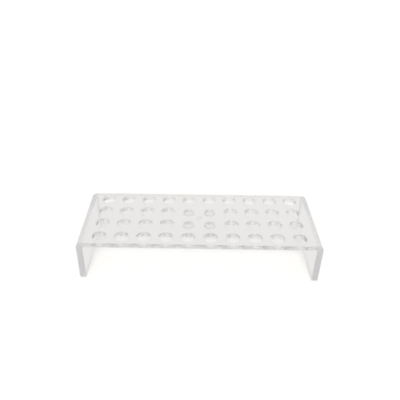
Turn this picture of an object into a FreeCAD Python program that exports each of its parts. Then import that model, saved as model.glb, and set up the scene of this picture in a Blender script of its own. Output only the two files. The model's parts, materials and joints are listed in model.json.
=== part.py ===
"""Bridge-shaped test tube rack in clear acrylic sheet.

A drilled deck stands between two upright end panels. The deck's two sawn ends are bonded
face to face with solvent cement to the inner faces of the panels, with the top faces flush.

Frame: millimetres, origin on the bench under the middle of the rack, +X along the rows of
ten, +Y from the front row to the back row, +Z up.
"""
import FreeCAD, Part
import os

# Hole pattern
COLUMNS = 10
ROWS = 4
COLUMN_PITCH = 22.0
ROW_PITCH = 22.0

# Tubes that the rack takes, and how much wider than the tube each hole is drilled
TUBE_DIAMETER = 13.0
TUBE_CLEARANCE = 0.5
NARROW_TUBE_DIAMETER = 9.5
NARROW_TUBE_CLEARANCE = 0.5
NARROW_COLUMNS = 2
NARROW_ROWS = 2

# Sheet stock
DECK_THICKNESS = 4.5
END_THICKNESS = 6.0

# Room round the pattern, and under the deck
END_MARGIN = 15.0
EDGE_MARGIN = 12.0
CLEAR_HEIGHT = 39.0

# Edge work
CORNER_RADIUS = 5.5
CORNER_LAND = 0.5
EDGE_BREAK = 0.3
RIM_CHAMFER = 0.4

# Blind spot-faced mark in the middle of the deck
CENTRE_MARK_DIAMETER = 5.5
CENTRE_MARK_DEPTH = 0.5

# How far a cutter runs past the face that it cuts through
CUTTER_OVERRUN = 1.0
SAME_PLACE = 1e-4

# Sizes that follow from the ones above
DECK_LENGTH = (COLUMNS - 1) * COLUMN_PITCH + 2 * END_MARGIN
RACK_DEPTH = (ROWS - 1) * ROW_PITCH + 2 * EDGE_MARGIN
RACK_HEIGHT = CLEAR_HEIGHT + DECK_THICKNESS
HOLE_RADIUS = (TUBE_DIAMETER + TUBE_CLEARANCE) / 2
NARROW_HOLE_RADIUS = (NARROW_TUBE_DIAMETER + NARROW_TUBE_CLEARANCE) / 2
ROUNDED_CORNER = min(CORNER_RADIUS, END_THICKNESS - CORNER_LAND)


def vector(x, y, z):
    """A point or direction in the rack's frame."""
    return FreeCAD.Vector(x, y, z)


def centred_places(count, pitch):
    """Evenly spaced places along one axis, with their middle on the origin."""
    first = -(count - 1) * pitch / 2
    return [first + index * pitch for index in range(count)]


def is_middle(index, count, middle_count):
    """Whether an index is one of the middle ones of a row or a column."""
    return abs(index - (count - 1) / 2) < middle_count / 2


def hole_pattern():
    """Each hole as its x, its y and its radius: the narrow holes are the middle block."""
    holes = []
    for row, y in enumerate(centred_places(ROWS, ROW_PITCH)):
        for column, x in enumerate(centred_places(COLUMNS, COLUMN_PITCH)):
            narrow = is_middle(row, ROWS, NARROW_ROWS) and is_middle(column, COLUMNS, NARROW_COLUMNS)
            holes.append((x, y, NARROW_HOLE_RADIUS if narrow else HOLE_RADIUS))
    return holes


def hole_cutter(x, y, radius):
    """A drill with a 45 degree countersink at both faces of the deck, as one turned solid."""
    wide = radius + RIM_CHAMFER + CUTTER_OVERRUN
    below = CLEAR_HEIGHT - CUTTER_OVERRUN
    above = RACK_HEIGHT + CUTTER_OVERRUN
    outline = [
        vector(0, 0, below),
        vector(wide, 0, below),
        vector(radius, 0, CLEAR_HEIGHT + RIM_CHAMFER),
        vector(radius, 0, RACK_HEIGHT - RIM_CHAMFER),
        vector(wide, 0, above),
        vector(0, 0, above),
    ]
    profile = Part.Face(Part.makePolygon(outline + outline[:1]))
    cutter = profile.revolve(vector(0, 0, 0), vector(0, 0, 1), 360)
    cutter.translate(vector(x, y, 0))
    return cutter


def centre_mark_cutter():
    """The spot-facer that leaves a shallow flat-bottomed mark in the deck's top face."""
    floor = RACK_HEIGHT - CENTRE_MARK_DEPTH
    height = CENTRE_MARK_DEPTH + CUTTER_OVERRUN
    return Part.makeCylinder(CENTRE_MARK_DIAMETER / 2, height, vector(0, 0, floor))


def edges_where(shape, test):
    """The edges of a shape whose two ends and middle all pass a test on a point."""
    chosen = []
    for edge in shape.Edges:
        middle = edge.valueAt((edge.FirstParameter + edge.LastParameter) / 2)
        points = [vertex.Point for vertex in edge.Vertexes] + [middle]
        if all(test(point) for point in points):
            chosen.append(edge)
    return chosen


def on_front_or_back(point):
    """Whether a point lies in the rack's front or back plane."""
    return abs(abs(point.y) - RACK_DEPTH / 2) < SAME_PLACE


def on_bench(point):
    """Whether a point lies in the plane of the bench."""
    return abs(point.z) < SAME_PLACE


def make_deck_plate():
    """The drilled deck: its long edges are broken, and its two bonded ends are left sharp."""
    corner = vector(-DECK_LENGTH / 2, -RACK_DEPTH / 2, CLEAR_HEIGHT)
    plate = Part.makeBox(DECK_LENGTH, RACK_DEPTH, DECK_THICKNESS, corner)
    bonded_end = DECK_LENGTH / 2 - SAME_PLACE
    long_edges = [
        edge for edge in edges_where(plate, on_front_or_back) if abs(edge.CenterOfMass.x) < bonded_end
    ]
    plate = plate.makeChamfer(EDGE_BREAK, long_edges)
    cutters = [hole_cutter(x, y, radius) for x, y, radius in hole_pattern()]
    return plate.cut(cutters + [centre_mark_cutter()])


def make_end_panel(side):
    """An end panel, from the bench to the deck's top, with its outer top edge rounded over.

    The side is -1 for the left panel and +1 for the right one.
    """
    inner = side * DECK_LENGTH / 2
    outer = inner + side * END_THICKNESS
    centre_x = outer - side * ROUNDED_CORNER
    centre_z = RACK_HEIGHT - ROUNDED_CORNER
    diagonal = ROUNDED_CORNER * 0.5 ** 0.5
    inner_foot = vector(inner, 0, 0)
    outer_foot = vector(outer, 0, 0)
    round_start = vector(outer, 0, centre_z)
    round_middle = vector(centre_x + side * diagonal, 0, centre_z + diagonal)
    round_end = vector(centre_x, 0, RACK_HEIGHT)
    inner_top = vector(inner, 0, RACK_HEIGHT)
    outline = Part.Wire([
        Part.LineSegment(inner_foot, outer_foot).toShape(),
        Part.LineSegment(outer_foot, round_start).toShape(),
        Part.Arc(round_start, round_middle, round_end).toShape(),
        Part.LineSegment(round_end, inner_top).toShape(),
        Part.LineSegment(inner_top, inner_foot).toShape(),
    ])
    panel = Part.Face(outline).extrude(vector(0, RACK_DEPTH, 0))
    panel.translate(vector(0, -RACK_DEPTH / 2, 0))
    broken_edges = edges_where(panel, on_front_or_back)
    broken_edges += [edge for edge in edges_where(panel, on_bench) if not on_front_or_back(edge.CenterOfMass)]
    return panel.makeChamfer(EDGE_BREAK, broken_edges)


def save(node, shape):
    """Write one sub-part to its STEP file, after checking that it is one sound solid."""
    if len(shape.Solids) != 1 or not shape.isValid():
        raise ValueError("{} is not one valid solid".format(node))
    shape.Solids[0].exportStep(os.path.join("parts", node + ".step"))
    box = shape.BoundBox
    print("{:16s} volume {:9.1f} mm3, x {:.2f} to {:.2f}, y {:.2f} to {:.2f}, z {:.2f} to {:.2f}".format(
        node, shape.Volume, box.XMin, box.XMax, box.YMin, box.YMax, box.ZMin, box.ZMax))


def main():
    os.makedirs("parts", exist_ok=True)
    save("deck_plate", make_deck_plate())
    save("left_end_panel", make_end_panel(-1))
    save("right_end_panel", make_end_panel(1))


main()
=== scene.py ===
"""The looks of a bridge-shaped test tube rack in clear acrylic sheet.

The rack is a drilled deck that stands between two upright end panels, bonded to them with
solvent cement. Every piece is rebuilt here as a closed surface of fine grids round the
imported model's own holes and corners, so that light bends through it without facets.

Frame: metres, origin on the bench under the middle of the rack, +X along the rows of holes,
+Y from front to back, +Z up.
"""

import json
import logging
import math
from dataclasses import dataclass, field
from enum import Enum, IntEnum

import bmesh
import bpy
import numpy as np
from mathutils import Matrix, Vector

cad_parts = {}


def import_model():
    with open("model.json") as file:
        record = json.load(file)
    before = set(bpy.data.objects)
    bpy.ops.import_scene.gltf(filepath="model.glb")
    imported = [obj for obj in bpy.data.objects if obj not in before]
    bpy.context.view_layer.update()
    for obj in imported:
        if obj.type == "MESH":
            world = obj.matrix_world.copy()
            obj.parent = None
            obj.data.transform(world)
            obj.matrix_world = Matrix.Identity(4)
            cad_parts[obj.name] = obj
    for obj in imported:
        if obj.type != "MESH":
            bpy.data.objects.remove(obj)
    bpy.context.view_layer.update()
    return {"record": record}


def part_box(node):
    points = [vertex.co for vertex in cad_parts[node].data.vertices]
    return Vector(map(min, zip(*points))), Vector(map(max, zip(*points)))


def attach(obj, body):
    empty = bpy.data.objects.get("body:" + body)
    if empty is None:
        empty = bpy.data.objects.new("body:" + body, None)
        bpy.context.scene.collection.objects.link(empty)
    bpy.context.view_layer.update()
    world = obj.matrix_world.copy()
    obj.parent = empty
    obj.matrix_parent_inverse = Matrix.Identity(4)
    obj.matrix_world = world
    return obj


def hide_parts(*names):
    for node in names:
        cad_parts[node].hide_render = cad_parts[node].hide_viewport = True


LOG = logging.getLogger("tube_rack")

MM = 0.001

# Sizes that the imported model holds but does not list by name
EDGE_BREAK = 0.3 * MM
CORNER_RADIUS = 5.5 * MM
CENTRE_MARK_RADIUS = 2.75 * MM
CENTRE_MARK_DEPTH = 0.5 * MM

# Solvent cement leaves no film, so a bonded face reaches this far into the piece it is bonded to
BOND_OVERLAP = 0.02 * MM

# A bore of at least this radius takes the wide tubes
WIDE_BORE_LEAST = 6 * MM

# Fineness of the surfaces: segments on a cell's side, in an eighth of the mark's circle, and in
# the quarter circle of a panel's corner
CELL_SIDE_SEGMENTS = 24
MARK_EIGHTH_SEGMENTS = 8
CORNER_SEGMENTS = 16
WELD_DISTANCE = 0.001 * MM
SHARP_ANGLE = math.radians(30)

# A cell's outline starts at its corner of least x and y, which lies this way from the hole
FIRST_CORNER_ANGLE = -0.75 * math.pi

# Holes whose places agree to this many decimals of a metre are in one line
PLACE_DECIMALS = 6

# The colour sockets of a Mix node, whose names it repeats for its other kinds of value
MIX_FIRST_COLOUR, MIX_SECOND_COLOUR, MIX_COLOUR_RESULT = 6, 7, 2

WHITE = "#ffffff"


class Finish(IntEnum):
    """How a stretch of acrylic surface was made."""

    CAST_FACE = 0
    SAWN_EDGE = 1
    ROUTED_EDGE = 2
    WIDE_BORE = 3
    NARROW_BORE = 4
    RIM = 5
    MILLED_MARK = 6
    BOND = 7

    @property
    def attribute(self) -> str:
        """The name of the face attribute that marks this finish."""
        return self.name.lower()


class Side(Enum):
    """Which end of the rack a panel stands at, as the sign of its X."""

    LEFT = -1
    RIGHT = 1


def linear(hex_colour: str) -> tuple[float, float, float, float]:
    """Turn an sRGB hex colour into linear red, green, blue and an alpha of 1.

    Args:
        hex_colour: the colour as "#rrggbb".

    Returns:
        The linear colour, by the sRGB curve: a straight foot, then a power of 2.4.
    """
    parts = np.array([int(hex_colour[i:i + 2], 16) for i in (1, 3, 5)]) / 255
    curve = np.where(parts <= 0.04045, parts / 12.92, ((parts + 0.055) / 1.055) ** 2.4)
    return (*curve.tolist(), 1.0)


def add_node(
    tree: bpy.types.NodeTree,
    kind: str,
    settings: dict[str, object] | None = None,
    inputs: dict[str | int, object] | None = None,
) -> bpy.types.Node:
    """Add a node to a tree, with its settings, and with values or links on its inputs.

    Args:
        tree: the node tree that gets the node.
        kind: the node's type name.
        settings: attributes of the node, by name.
        inputs: values or output sockets, by the name or number of the input they go to.

    Returns:
        The new node.
    """
    node = tree.nodes.new(kind)
    for name, value in (settings or {}).items():
        setattr(node, name, value)
    for name, value in (inputs or {}).items():
        if isinstance(value, bpy.types.NodeSocket):
            tree.links.new(value, node.inputs[name])
        else:
            node.inputs[name].default_value = value
    return node


def empty_material(name: str) -> bpy.types.Material:
    """Make a material whose node tree is empty.

    Args:
        name: the material's name.

    Returns:
        The material.
    """
    material = bpy.data.materials.new(name)
    material.use_nodes = True
    material.node_tree.nodes.clear()
    return material


@dataclass
class Shell:
    """A closed surface gathered from grids and flat caps, with the finish of each face."""

    points: list[np.ndarray] = field(default_factory=list)
    faces: list[tuple[int, ...]] = field(default_factory=list)
    finishes: list[np.ndarray] = field(default_factory=list)
    count: int = 0

    def add_grid(self, grid: np.ndarray, finishes: np.ndarray | Finish, closed: bool) -> None:
        """Add a grid of points as quads.

        The quad between rows v and v+1 and columns u and u+1 runs (v, u), (v, u+1),
        (v+1, u+1), (v+1, u), so it faces along the cross product of its columns' direction
        and its rows' direction.

        Args:
            grid: points in an array of rows, columns and 3.
            finishes: the faces' finishes, in any shape that spreads over the rows and columns.
            closed: whether the last column joins the first.
        """
        rows, columns = grid.shape[:2]
        index = self.count + np.arange(rows * columns).reshape(rows, columns)
        ahead = np.roll(index, -1, axis=1)
        if not closed:
            index, ahead = index[:, :-1], ahead[:, :-1]
        quads = np.stack([index[:-1], ahead[:-1], ahead[1:], index[1:]], axis=-1)
        self.points.append(grid.reshape(-1, 3))
        self.faces += [tuple(quad) for quad in quads.reshape(-1, 4).tolist()]
        self.finishes.append(np.broadcast_to(finishes, quads.shape[:2]).ravel())
        self.count += rows * columns

    def add_cap(self, corners: np.ndarray, finish: Finish) -> None:
        """Add one flat face from its corners, which run anticlockwise seen from outside.

        Args:
            corners: the corners in an array of count and 3.
            finish: the finish of the face.
        """
        self.points.append(corners)
        self.faces.append(tuple(range(self.count, self.count + len(corners))))
        self.finishes.append(np.array([finish]))
        self.count += len(corners)

    def to_object(
        self, name: str, sheet: bpy.types.Material, bond: bpy.types.Material
    ) -> bpy.types.Object:
        """Make the shell a Blender object whose seams are welded and whose arcs are smooth.

        Each finish becomes a face attribute of its own name, 1 on its faces and 0 elsewhere.

        Args:
            name: the name of the object and of its mesh.
            sheet: the material of every face that shows.
            bond: the material of the bonded faces.

        Returns:
            The object, at the origin, linked to the scene.
        """
        mesh = bpy.data.meshes.new(name)
        mesh.from_pydata(np.concatenate(self.points).tolist(), [], self.faces)
        finishes = np.concatenate(self.finishes)
        for finish in Finish:
            attribute = mesh.attributes.new(finish.attribute, "FLOAT", "FACE")
            attribute.data.foreach_set("value", (finishes == finish).astype(float))
        for material in (sheet, bond):
            mesh.materials.append(material)
        mesh.polygons.foreach_set("material_index", (finishes == Finish.BOND).astype(int))
        welded = bmesh.new()
        welded.from_mesh(mesh)
        bmesh.ops.remove_doubles(welded, verts=welded.verts, dist=WELD_DISTANCE)
        welded.to_mesh(mesh)
        welded.free()
        mesh.shade_smooth()
        mesh.set_sharp_from_angle(angle=SHARP_ANGLE)
        piece = bpy.data.objects.new(name, mesh)
        bpy.context.scene.collection.objects.link(piece)
        weighted = piece.modifiers.new("flat_faces_stay_flat", "WEIGHTED_NORMAL")
        weighted.keep_sharp = True
        return piece


def ring(
    centre: tuple[float, float], radius: float, height: float, count: int, start: float = 0.0
) -> np.ndarray:
    """Points evenly round a level circle, anticlockwise seen from above.

    Args:
        centre: the circle's x and y.
        radius: the circle's radius.
        height: the circle's z.
        count: how many points.
        start: the angle of the first point, in radians.

    Returns:
        The points, as centre plus radius times the cosine and sine of the angle.
    """
    angle = start + 2 * np.pi * np.arange(count) / count
    x = centre[0] + radius * np.cos(angle)
    y = centre[1] + radius * np.sin(angle)
    return np.stack([x, y, np.full(count, height)], axis=-1)


@dataclass(frozen=True)
class CastAcrylic:
    """Cast PMMA sheet: water-clear through its faces, and faintly violet at its sawn edges.

    The cast faces are as smooth as the glass they were cast against, with a very slow wave.
    The panels' sawn edges have a haze and faint streaks up their height, which make them the
    darkest part. The deck's edges and the panels' back ends were routed, which leaves a finer
    haze. The wide bores keep the drill's rings, the narrow ones are hazy, and the milled mark
    is dull.
    """

    name: str = "cast_acrylic_sheet"
    ior: float = 1.49
    # Colours of the faces, of the sawn edges, and of the lamp's light after one face
    face_colour: str = "#ffffff"
    edge_colour: str = "#fdfaff"
    shadow_colour: str = "#dcdcde"
    # Roughness of each finish
    face_roughness: float = 0.0
    sawn_roughness: float = 0.35
    routed_roughness: float = 0.22
    bore_roughness: float = 0.05
    narrow_roughness: float = 0.28
    rim_roughness: float = 0.1
    mark_roughness: float = 0.4
    # Relief: the slow wave of the cast faces, the saw's streaks and the drill's rings
    wave_size: float = 30 * MM
    wave_height: float = 0.004 * MM
    streak_spacing: float = 2.5 * MM
    streak_stretch: float = 10
    streak_height: float = 0.002 * MM
    ring_pitch: float = 1.2 * MM
    ring_waver: float = 0.4
    ring_height: float = 0.001 * MM

    def build(self) -> bpy.types.Material:
        """Build the material's nodes.

        Returns:
            The material.
        """
        material = empty_material(self.name)
        tree = material.node_tree
        flags: dict[Finish, bpy.types.NodeSocket] = {}
        for finish in Finish:
            flag = add_node(tree, "ShaderNodeAttribute", {"attribute_name": finish.attribute})
            flags[finish] = flag.outputs["Fac"]
        colour = add_node(tree, "ShaderNodeMix", {"data_type": "RGBA"}, {
            "Factor": flags[Finish.SAWN_EDGE],
            MIX_FIRST_COLOUR: linear(self.face_colour),
            MIX_SECOND_COLOUR: linear(self.edge_colour),
        })
        surface = add_node(tree, "ShaderNodeBsdfPrincipled", inputs={
            "Base Color": colour.outputs[MIX_COLOUR_RESULT],
            "Roughness": self.roughness(tree, flags),
            "IOR": self.ior,
            "Transmission Weight": 1.0,
            "Normal": self.relief(tree, flags),
        })
        clear = add_node(tree, "ShaderNodeBsdfTransparent", inputs={
            "Color": linear(self.shadow_colour),
        })
        path = add_node(tree, "ShaderNodeLightPath")
        # Light from the lamp passes straight through, so that the rack's own shadow is pale
        shown = add_node(tree, "ShaderNodeMixShader", inputs={
            0: path.outputs["Is Shadow Ray"], 1: surface.outputs[0], 2: clear.outputs[0],
        })
        add_node(tree, "ShaderNodeOutputMaterial", inputs={"Surface": shown.outputs[0]})
        return material

    def roughness(
        self, tree: bpy.types.NodeTree, flags: dict[Finish, bpy.types.NodeSocket]
    ) -> bpy.types.NodeSocket:
        """Roughness by finish: the sum of each finish's value where that finish lies.

        Args:
            tree: the material's node tree.
            flags: the socket that is 1 where each finish lies.

        Returns:
            The socket that gives the roughness.
        """
        value = 0.0
        for finish, rough in (
            (Finish.CAST_FACE, self.face_roughness),
            (Finish.SAWN_EDGE, self.sawn_roughness),
            (Finish.ROUTED_EDGE, self.routed_roughness),
            (Finish.WIDE_BORE, self.bore_roughness),
            (Finish.NARROW_BORE, self.narrow_roughness),
            (Finish.RIM, self.rim_roughness),
            (Finish.MILLED_MARK, self.mark_roughness),
        ):
            value = add_node(tree, "ShaderNodeMath", {"operation": "MULTIPLY_ADD"}, {
                0: flags[finish], 1: rough, 2: value,
            }).outputs[0]
        return value

    def relief(
        self, tree: bpy.types.NodeTree, flags: dict[Finish, bpy.types.NodeSocket]
    ) -> bpy.types.NodeSocket:
        """Surface height by finish: a slow wave everywhere, streaks on sawn edges, rings in bores.

        Real saw streaks lie about 0.3 mm apart and the drill's rings about 0.2 mm. Both are
        drawn coarser, so that they show as faint unevenness and not as grain. The streaks are
        noise stretched along Z. The rings are a wave whose scale is pi over ten times the pitch,
        because a wave texture's period is pi over ten times its scale.

        Args:
            tree: the material's node tree.
            flags: the socket that is 1 where each finish lies.

        Returns:
            The socket that gives the bumped normal.
        """
        place = add_node(tree, "ShaderNodeTexCoord").outputs["Object"]
        wave = add_node(tree, "ShaderNodeTexNoise", inputs={
            "Vector": place, "Scale": 1 / self.wave_size, "Detail": 1.0,
        })
        slow = add_node(tree, "ShaderNodeBump", inputs={
            "Strength": 1.0, "Distance": self.wave_height, "Height": wave.outputs["Fac"],
        })
        across = 1 / self.streak_spacing
        stretched = add_node(tree, "ShaderNodeMapping", inputs={
            "Vector": place, "Scale": (across, across, across / self.streak_stretch),
        })
        streaks = add_node(tree, "ShaderNodeTexNoise", inputs={
            "Vector": stretched.outputs[0], "Scale": 1.0, "Detail": 1.0,
        })
        streaky = add_node(tree, "ShaderNodeBump", inputs={
            "Strength": flags[Finish.SAWN_EDGE], "Distance": self.streak_height,
            "Height": streaks.outputs["Fac"], "Normal": slow.outputs[0],
        })
        rings = add_node(tree, "ShaderNodeTexWave", {"bands_direction": "Z"}, {
            "Vector": place,
            "Scale": math.pi / (10 * self.ring_pitch),
            "Distortion": self.ring_waver,
        })
        ringed = add_node(tree, "ShaderNodeBump", inputs={
            "Strength": flags[Finish.WIDE_BORE], "Distance": self.ring_height,
            "Height": rings.outputs["Fac"], "Normal": streaky.outputs[0],
        })
        return ringed.outputs[0]


@dataclass(frozen=True)
class CementBond:
    """A solvent-cemented joint: the sheets are fused, so light passes with no reflection."""

    name: str = "solvent_cement_bond"

    def build(self) -> bpy.types.Material:
        """Build the material, which is a plain transparent surface.

        Returns:
            The material.
        """
        material = empty_material(self.name)
        tree = material.node_tree
        fused = add_node(tree, "ShaderNodeBsdfTransparent")
        add_node(tree, "ShaderNodeOutputMaterial", inputs={"Surface": fused.outputs[0]})
        return material


@dataclass(frozen=True)
class Bore:
    """One drilled hole in the deck."""

    x: float
    y: float
    radius: float


@dataclass
class DeckPlate:
    """The drilled deck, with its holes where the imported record's bore mounts say.

    Rims are the chamfers round a hole, first on the top and then on the underside. A wide hole
    is broken only lightly from below, and a narrow one has its wide chamfer there.
    """

    low: Vector
    high: Vector
    bores: list[Bore]
    wide_rims: tuple[float, float] = (0.35 * MM, 0.1 * MM)
    narrow_rims: tuple[float, float] = (0.1 * MM, 0.8 * MM)
    edge_break: float = EDGE_BREAK
    mark_radius: float = CENTRE_MARK_RADIUS
    mark_depth: float = CENTRE_MARK_DEPTH
    node: str = "deck_plate"

    def cell_lines(self, places: list[float], low: float, high: float) -> np.ndarray:
        """Lines that part the holes into cells along one axis.

        Args:
            places: the holes' places along the axis.
            low: where the first cell starts.
            high: where the last cell ends.

        Returns:
            The first and last line, with the middles between neighbouring holes between them.
        """
        centres = np.unique(np.round(places, PLACE_DECIMALS))
        return np.concatenate([[low], (centres[:-1] + centres[1:]) / 2, [high]])

    def even_steps(self, lines: np.ndarray) -> np.ndarray:
        """All steps of the cells' sides along one axis.

        Args:
            lines: the lines that part the cells.

        Returns:
            The places, which are even between each line and the next.
        """
        share = np.arange(CELL_SIDE_SEGMENTS) / CELL_SIDE_SEGMENTS
        steps = lines[:-1, None] + np.diff(lines)[:, None] * share
        return np.append(steps.ravel(), lines[-1])

    def cell_outline(self, corners: np.ndarray, notch: int | None) -> np.ndarray:
        """The outline of one cell, anticlockwise seen from above, with even steps on each side.

        A notched corner gives way to the centre mark: a quarter of the mark's circle, centred
        on the corner, takes the place of the ends of the two sides that meet there.

        Args:
            corners: the cell's four corners, anticlockwise from the one of least x and y.
            notch: the number of the notched corner.

        Returns:
            The outline's points in an array of count and 2, starting at the first corner.
        """
        eighth = np.pi / 4 * np.arange(MARK_EIGHTH_SEGMENTS) / MARK_EIGHTH_SEGMENTS
        sides = []
        for number, (start, end) in enumerate(zip(corners, np.roll(corners, -1, axis=0))):
            along = (end - start) / np.linalg.norm(end - start)
            left = np.array([-along[1], along[0]])
            steps = CELL_SIDE_SEGMENTS
            head, tail = np.empty((0, 2)), np.empty((0, 2))
            if notch == number:
                turn = (eighth + np.pi / 4)[:, None]
                head = start + self.mark_radius * (left * np.cos(turn) + along * np.sin(turn))
                start = start + self.mark_radius * along
                steps -= MARK_EIGHTH_SEGMENTS
            if notch == (number + 1) % len(corners):
                turn = eighth[:, None]
                tail = end + self.mark_radius * (left * np.sin(turn) - along * np.cos(turn))
                end = end - self.mark_radius * along
                steps -= MARK_EIGHTH_SEGMENTS
            share = np.arange(steps)[:, None] / steps
            sides += [head, start + (end - start) * share, tail]
        return np.concatenate(sides)

    def add_cell(
        self, shell: Shell, bore: Bore, top_outline: np.ndarray, low_outline: np.ndarray
    ) -> None:
        """Add the deck round one hole, from the top outline through the hole to the low one.

        Each rim is a chamfer at 45 degrees, as wide as it is deep.

        Args:
            shell: the surface that gets the cell.
            bore: the hole.
            top_outline: the cell's outline on the top face.
            low_outline: the cell's outline on the bottom face.
        """
        if bore.radius < WIDE_BORE_LEAST:
            top_rim, low_rim = self.narrow_rims
            wall, rim = Finish.NARROW_BORE, Finish.NARROW_BORE
        else:
            top_rim, low_rim = self.wide_rims
            wall, rim = Finish.WIDE_BORE, Finish.RIM
        top, bottom = self.high.z, self.low.z
        count = len(top_outline)
        levels = (
            (top_rim, top), (0.0, top - top_rim), (0.0, bottom + low_rim), (low_rim, bottom),
        )
        rings = [
            ring((bore.x, bore.y), bore.radius + spread, height, count, FIRST_CORNER_ANGLE)
            for spread, height in levels
        ]
        outer_top = np.column_stack([top_outline, np.full(count, top)])
        outer_low = np.column_stack([low_outline, np.full(count, bottom)])
        bands = [Finish.CAST_FACE, rim, wall, rim, Finish.CAST_FACE]
        grid = np.stack([outer_top, *rings, outer_low])
        shell.add_grid(grid, np.array(bands)[:, None], closed=True)

    def add_sides(self, shell: Shell, x_steps: np.ndarray, y_steps: np.ndarray) -> None:
        """Add the front and back edges with their breaks, and the two bonded ends.

        Each strip runs anticlockwise round the deck, so that it faces outward. A bonded end stops
        where the breaks start, and a slip of each edge's own profile closes it there.

        Args:
            shell: the surface that gets the sides.
            x_steps: the outline's places along X.
            y_steps: the outline's places along Y, which end where the breaks start.
        """
        top, bottom = self.high.z, self.low.z
        heights = np.array([bottom, bottom + self.edge_break, top - self.edge_break, top])
        insets = np.array([self.edge_break, 0, 0, self.edge_break])
        for sign, steps in ((-1, x_steps), (1, x_steps[::-1])):
            reach = sign * (self.high.y - insets)
            axes = np.broadcast_arrays(steps[None, :], reach[:, None], heights[:, None])
            shell.add_grid(np.stack(axes, axis=-1), Finish.ROUTED_EDGE, closed=False)
        for place, steps in ((x_steps[-1], y_steps), (x_steps[0], y_steps[::-1])):
            levels = np.array([bottom, top])[:, None]
            axes = np.broadcast_arrays(np.array(place), steps[None, :], levels)
            shell.add_grid(np.stack(axes, axis=-1), Finish.BOND, closed=False)
            for sign in (-1, 1):
                reach = sign * (self.high.y - insets)
                slip = np.column_stack([np.full(len(heights), place), reach, heights])
                outward = sign * np.sign(place) > 0
                shell.add_cap(slip[::-1] if outward else slip, Finish.ROUTED_EDGE)

    def add_mark(self, shell: Shell) -> None:
        """Add the centre mark's wall and flat floor.

        Args:
            shell: the surface that gets the mark.
        """
        top = self.high.z
        count = 8 * MARK_EIGHTH_SEGMENTS
        rim = ring((0, 0), self.mark_radius, top, count)
        foot = ring((0, 0), self.mark_radius, top - self.mark_depth, count)
        shell.add_grid(np.stack([rim, foot]), Finish.MILLED_MARK, closed=True)
        shell.add_cap(foot, Finish.MILLED_MARK)

    def build(self, sheet: bpy.types.Material, bond: bpy.types.Material) -> bpy.types.Object:
        """Build the deck and dress it.

        Args:
            sheet: the acrylic's material.
            bond: the bonded faces' material.

        Returns:
            The deck's object.
        """
        ends = (self.low.x - BOND_OVERLAP, self.high.x + BOND_OVERLAP)
        x_lines = self.cell_lines([bore.x for bore in self.bores], *ends)
        reach = self.high.y - self.edge_break
        y_lines = self.cell_lines([bore.y for bore in self.bores], -reach, reach)
        shell = Shell()
        for bore in self.bores:
            column, row = np.searchsorted(x_lines, bore.x), np.searchsorted(y_lines, bore.y)
            left, right = x_lines[column - 1], x_lines[column]
            front, back = y_lines[row - 1], y_lines[row]
            corners = np.array([(left, front), (right, front), (right, back), (left, back)])
            marked = np.flatnonzero(np.linalg.norm(corners, axis=1) < self.mark_radius)
            notch = int(marked[0]) if len(marked) else None
            top_outline = self.cell_outline(corners, notch)
            low_outline = self.cell_outline(corners, None)
            self.add_cell(shell, bore, top_outline, low_outline)
        self.add_sides(shell, self.even_steps(x_lines), self.even_steps(y_lines))
        self.add_mark(shell)
        return shell.to_object("acrylic_deck", sheet, bond)


@dataclass
class EndPanel:
    """An upright end panel, with its outer top edge rounded over."""

    low: Vector
    high: Vector
    side: Side
    bond_foot: float
    corner_radius: float = CORNER_RADIUS
    edge_break: float = EDGE_BREAK

    @property
    def node(self) -> str:
        """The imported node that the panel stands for."""
        return f"{self.side.name.lower()}_end_panel"

    def section(self, inset: float) -> np.ndarray:
        """The panel's outline across the rack, anticlockwise seen from the front.

        It is worked out for the right panel and mirrored for the left one: from the foot of the
        inner face along the foot, up the outer face, round a quarter circle, along the top, and
        down the inner face by way of the deck's bonded end.

        Args:
            inset: how far the outline is drawn in, for the broken edge of an end face.

        Returns:
            The outline's x and z in an array of count and 2.
        """
        thickness = self.high.x - self.low.x
        height = self.high.z
        angle = np.linspace(0, np.pi / 2, CORNER_SEGMENTS + 1)
        radius = self.corner_radius - inset
        arc = np.column_stack([
            thickness - self.corner_radius + radius * np.cos(angle),
            height - self.corner_radius + radius * np.sin(angle),
        ])
        outline = np.concatenate([
            [(inset, inset), (thickness - inset, inset)],
            arc,
            [(inset, height - inset), (inset, self.bond_foot)],
        ])
        inner = self.low.x if self.side is Side.RIGHT else self.high.x
        return np.column_stack([inner + self.side.value * outline[:, 0], outline[:, 1]])

    def build(self, sheet: bpy.types.Material, bond: bpy.types.Material) -> bpy.types.Object:
        """Build the panel and dress it.

        Args:
            sheet: the acrylic's material.
            bond: the bonded faces' material.

        Returns:
            The panel's object.
        """
        stations = (
            (self.high.y, self.edge_break),
            (self.high.y - self.edge_break, 0.0),
            (self.low.y + self.edge_break, 0.0),
            (self.low.y, self.edge_break),
        )
        grid = np.stack([np.insert(self.section(inset), 1, y, axis=1) for y, inset in stations])
        # Between the end breaks, the section's first two sides are the foot and the outer face,
        # and its last two the bonded stretch and the inner face. The foot is drawn polished.
        finishes = np.full((len(stations) - 1, grid.shape[1]), Finish.SAWN_EDGE)
        finishes[1, [0, 1, -1]] = Finish.CAST_FACE
        finishes[1, -2] = Finish.BOND
        # The back end is finished as finely as the deck's routed edges, the front end as sawn
        end_finishes = (Finish.ROUTED_EDGE, Finish.SAWN_EDGE)
        if self.side is Side.LEFT:
            grid, finishes, end_finishes = grid[::-1], finishes[::-1], end_finishes[::-1]
        shell = Shell()
        shell.add_grid(grid, finishes, closed=True)
        shell.add_cap(grid[0][::-1], end_finishes[0])
        shell.add_cap(grid[-1], end_finishes[1])
        return shell.to_object(f"acrylic_{self.side.name.lower()}_panel", sheet, bond)


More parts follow.
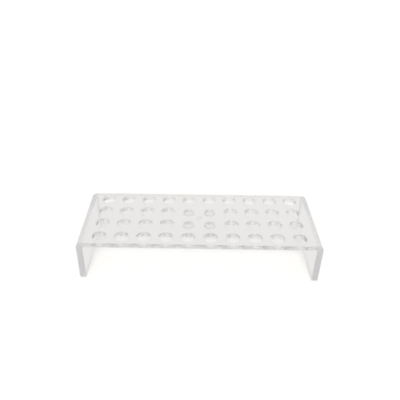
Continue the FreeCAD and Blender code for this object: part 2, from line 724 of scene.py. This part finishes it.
@dataclass(frozen=True)
class Studio:
    """A plain pale floor under soft light, and the camera.

    The floor and the room are white to the camera. Gloss and glass show the floor as an even grey
    glow, a painted shade that stands in for the rack's shadow on it, and a room whose walls are
    bright all round but on the left, with one softbox high in front.
    Turns, heights, dips, rolls and spreads are in degrees, and a turn starts at +Y and goes
    towards +X. The walls' foot, top and leans are cosines.
    """

    # The floor, and the share of it that takes the rack's shadow
    floor_reach: float = 6.0
    floor_drop: float = 0.05 * MM
    floor_colour: str = "#fffefb"
    # Painted shade: the even grey the floor glows in gloss and through the acrylic, in place of the
    # rack's shadow
    floor_painted_shade_colour: str = "#eae9e7"
    shadow_share: float = 0.8
    # The walls, between where they are dim and where they are lit
    dim_wall_colour: str = "#c4c4c3"
    lit_wall_colour: str = "#ecece9"
    lit_wall_turn: float = 105
    wall_dim_lean: float = -0.8
    wall_lit_lean: float = -0.2
    wall_foot: float = 0.05
    wall_foot_fade: float = 0.15
    wall_top: float = 0.72
    wall_top_fade: float = 0.17
    # The softbox, and the even room that lights matt surfaces
    softbox_colour: str = "#fffef8"
    softbox_glow: float = 3.6
    softbox_turn: float = 165
    softbox_height: float = 65
    softbox_reach: float = 15.5
    softbox_fade: float = 3
    room_on_floor_colour: str = "#b0b0b0"
    # The lamp that casts the shadow
    lamp_strength: float = 3.8
    lamp_turn: float = 181
    lamp_height: float = 34
    lamp_spread: float = 24
    # The camera: its lens in millimetres and its place in metres
    sensor_width: float = 36.0
    focal_length: float = 42.16
    sideways_shift: float = 0.0328
    camera_place: tuple[float, float, float] = (-0.0072, -0.3967, 0.3284)
    camera_turn: float = 0.83
    camera_dip: float = 33.5
    camera_roll: float = 0.36
    nearest_seen: float = 0.01
    # How far light is followed, and how its noise is kept down
    light_bounces: int = 32
    gloss_bounces: int = 16
    brightest_indirect: float = 1.2
    filter_width: float = 2.0

    def build_camera(self) -> None:
        """Place the camera.

        Unturned, it is level and faces +Y. It turns about Z, then dips below level about its own
        X, then rolls about its own line of sight.
        """
        data = bpy.data.cameras.new("camera")
        data.sensor_width = self.sensor_width
        data.lens = self.focal_length
        data.shift_x = self.sideways_shift
        data.clip_start = self.nearest_seen
        camera = bpy.data.objects.new("camera", data)
        bpy.context.scene.collection.objects.link(camera)
        turn = Matrix.Rotation(math.radians(self.camera_turn), 4, "Z")
        dip = Matrix.Rotation(math.radians(90 - self.camera_dip), 4, "X")
        roll = Matrix.Rotation(math.radians(self.camera_roll), 4, "Z")
        camera.matrix_world = Matrix.Translation(self.camera_place) @ turn @ dip @ roll
        bpy.context.scene.camera = camera

    def build_floor(self) -> bpy.types.Object:
        """Lay the floor, a hair below the panels' feet.

        To the camera it is white card under the rack's own shadow. In gloss and through the acrylic
        it is an even grey glow instead, a painted shade that stands in for that shadow.

        Returns:
            The floor's object.
        """
        reach = self.floor_reach
        corners = [(-reach, -reach), (reach, -reach), (reach, reach), (-reach, reach)]
        mesh = bpy.data.meshes.new("floor")
        mesh.from_pydata([(x, y, -self.floor_drop) for x, y in corners], [], [(0, 1, 2, 3)])
        floor = bpy.data.objects.new("floor", mesh)
        bpy.context.scene.collection.objects.link(floor)
        material = empty_material("matt_white_card")
        tree = material.node_tree
        card = add_node(tree, "ShaderNodeBsdfDiffuse", inputs={"Color": linear(self.floor_colour)})
        white = add_node(tree, "ShaderNodeEmission", inputs={
            "Color": linear(WHITE), "Strength": 1.0,
        })
        # Painted shade: an even grey glow that gloss and the acrylic see in place of the card and
        # the rack's shadow on it
        floor_painted_shade_glow = add_node(tree, "ShaderNodeEmission", inputs={
            "Color": linear(self.floor_painted_shade_colour), "Strength": 1.0,
        })
        path = add_node(tree, "ShaderNodeLightPath")
        shaded_white = add_node(tree, "ShaderNodeMixShader", inputs={
            0: self.shadow_share, 1: white.outputs[0], 2: card.outputs[0],
        })
        in_acrylic = add_node(tree, "ShaderNodeMath", {"operation": "MAXIMUM"}, {
            0: path.outputs["Is Glossy Ray"], 1: path.outputs["Is Transmission Ray"],
        })
        to_all_else = add_node(tree, "ShaderNodeMixShader", inputs={
            0: in_acrylic.outputs[0], 1: card.outputs[0], 2: floor_painted_shade_glow.outputs[0],
        })
        shown = add_node(tree, "ShaderNodeMixShader", inputs={
            0: path.outputs["Is Camera Ray"], 1: to_all_else.outputs[0], 2: shaded_white.outputs[0],
        })
        add_node(tree, "ShaderNodeOutputMaterial", inputs={"Surface": shown.outputs[0]})
        mesh.materials.append(material)
        return floor

    def toward(self, turn: float, height: float) -> Vector:
        """The direction at a turn from +Y towards +X and a height above level.

        Args:
            turn: the turn in degrees.
            height: the height above level in degrees.

        Returns:
            The direction, of length 1: its level part is the height's cosine, shared between X
            and Y by the turn's sine and cosine, and its Z is the height's sine.
        """
        level, rise = math.radians(turn), math.radians(height)
        reach = math.cos(rise)
        return Vector((reach * math.sin(level), reach * math.cos(level), math.sin(rise)))

    def build_lamp(self) -> None:
        """Light the floor from the front by a broad sun, so that the shadow falls behind the rack.

        Glass and gloss don't show this sun, because the room shows them the softbox instead.
        """
        data = bpy.data.lights.new("front_lamp", "SUN")
        data.energy = self.lamp_strength
        data.angle = math.radians(self.lamp_spread)
        lamp = bpy.data.objects.new("front_lamp", data)
        bpy.context.scene.collection.objects.link(lamp)
        to_lamp = self.toward(self.lamp_turn, self.lamp_height)
        lamp.rotation_euler = to_lamp.to_track_quat("Z", "Y").to_euler()
        lamp.visible_glossy = False
        lamp.visible_transmission = False

    def build_room(self) -> None:
        """Surround the rack with a room: white to the camera, and to all else as it is lit.

        Each mask goes smoothly from 0 to 1 with the cosine between the ray and a direction. The
        walls are lit towards one side, between their foot and their top. The softbox is a disc
        of directions, and diffuse rays meet an even room, since the lamp lights them.
        """
        world = bpy.data.worlds.new("studio_room")
        bpy.context.scene.world = world
        world.use_nodes = True
        tree = world.node_tree
        tree.nodes.clear()
        direction = add_node(tree, "ShaderNodeTexCoord").outputs["Generated"]
        path = add_node(tree, "ShaderNodeLightPath")
        up = Vector((0, 0, 1))
        edge, fade = math.radians(self.softbox_reach), math.radians(self.softbox_fade)
        masks = []
        for towards, dark, bright in (
            (self.toward(self.lit_wall_turn, 0), self.wall_dim_lean, self.wall_lit_lean),
            (up, self.wall_foot, self.wall_foot + self.wall_foot_fade),
            (up, self.wall_top, self.wall_top - self.wall_top_fade),
            (
                self.toward(self.softbox_turn, self.softbox_height),
                math.cos(edge + fade),
                math.cos(edge - fade),
            ),
        ):
            lean = add_node(tree, "ShaderNodeVectorMath", {"operation": "DOT_PRODUCT"}, {
                0: direction, 1: towards,
            })
            mask = add_node(tree, "ShaderNodeMapRange", {"interpolation_type": "SMOOTHSTEP"}, {
                "Value": lean.outputs["Value"], "From Min": dark, "From Max": bright,
            })
            masks.append(mask.outputs[0])
        lit_side, above_foot, below_top, disc = masks
        wall_height = add_node(tree, "ShaderNodeMath", {"operation": "MULTIPLY"}, {
            0: above_foot, 1: below_top,
        })
        lit_wall = add_node(tree, "ShaderNodeMath", {"operation": "MULTIPLY"}, {
            0: lit_side, 1: wall_height.outputs[0],
        })
        walls = add_node(tree, "ShaderNodeMix", {"data_type": "RGBA"}, {
            "Factor": lit_wall.outputs[0],
            MIX_FIRST_COLOUR: linear(self.dim_wall_colour),
            MIX_SECOND_COLOUR: linear(self.lit_wall_colour),
        })
        room = add_node(tree, "ShaderNodeBackground", inputs={
            "Color": walls.outputs[MIX_COLOUR_RESULT], "Strength": 1.0,
        })
        softbox = add_node(tree, "ShaderNodeBackground", inputs={
            "Color": linear(self.softbox_colour), "Strength": self.softbox_glow,
        })
        lit_room = add_node(tree, "ShaderNodeMixShader", inputs={
            0: disc, 1: room.outputs[0], 2: softbox.outputs[0],
        })
        even_room = add_node(tree, "ShaderNodeBackground", inputs={
            "Color": linear(self.room_on_floor_colour), "Strength": 1.0,
        })
        to_all_else = add_node(tree, "ShaderNodeMixShader", inputs={
            0: path.outputs["Diffuse Depth"], 1: lit_room.outputs[0], 2: even_room.outputs[0],
        })
        white = add_node(tree, "ShaderNodeBackground", inputs={
            "Color": linear(WHITE), "Strength": 1.0,
        })
        shown = add_node(tree, "ShaderNodeMixShader", inputs={
            0: path.outputs["Is Camera Ray"], 1: to_all_else.outputs[0], 2: white.outputs[0],
        })
        add_node(tree, "ShaderNodeOutputWorld", inputs={"Surface": shown.outputs[0]})
        world.cycles.sampling_method = "NONE"

    def set_light_paths(self) -> None:
        """Set how the picture is shown, and how deep and how finely light is followed.

        Light crosses many faces inside the deck, so it is followed deep. The denoiser gets the
        colours alone, because what it is told of faces behind clear ones is noise.
        """
        scene = bpy.context.scene
        scene.view_settings.view_transform = "Standard"
        scene.cycles.max_bounces = self.light_bounces
        scene.cycles.transmission_bounces = self.light_bounces
        scene.cycles.transparent_max_bounces = self.light_bounces
        scene.cycles.glossy_bounces = self.gloss_bounces
        scene.cycles.sample_clamp_indirect = self.brightest_indirect
        scene.cycles.filter_width = self.filter_width
        scene.cycles.denoising_input_passes = "RGB"

    def build(self) -> None:
        """Build the whole studio."""
        self.build_camera()
        self.build_floor()
        self.build_lamp()
        self.build_room()
        self.set_light_paths()


def main() -> None:
    """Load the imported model, dress each piece of the rack, and set the studio round it."""
    logging.basicConfig(level=logging.INFO, format="%(name)s: %(message)s")
    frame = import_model()
    Studio().build()
    sheet, bond = CastAcrylic().build(), CementBond().build()
    bores = [
        Bore(mount["pos_m"][0], mount["pos_m"][1], mount["dims"]["r_mm"] * MM)
        for mount in frame["record"]["mounts"]
        if mount["kind"] == "bore"
    ]
    deck = DeckPlate(*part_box("deck_plate"), bores)
    panels = [
        EndPanel(*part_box(f"{side.name.lower()}_end_panel"), side, deck.low.z) for side in Side
    ]
    for piece in (deck, *panels):
        built = piece.build(sheet, bond)
        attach(built, "root")
        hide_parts(piece.node)
        LOG.info("%s stands for %s with %d faces", built.name, piece.node, len(built.data.polygons))


if __name__ == "__main__":
    main()
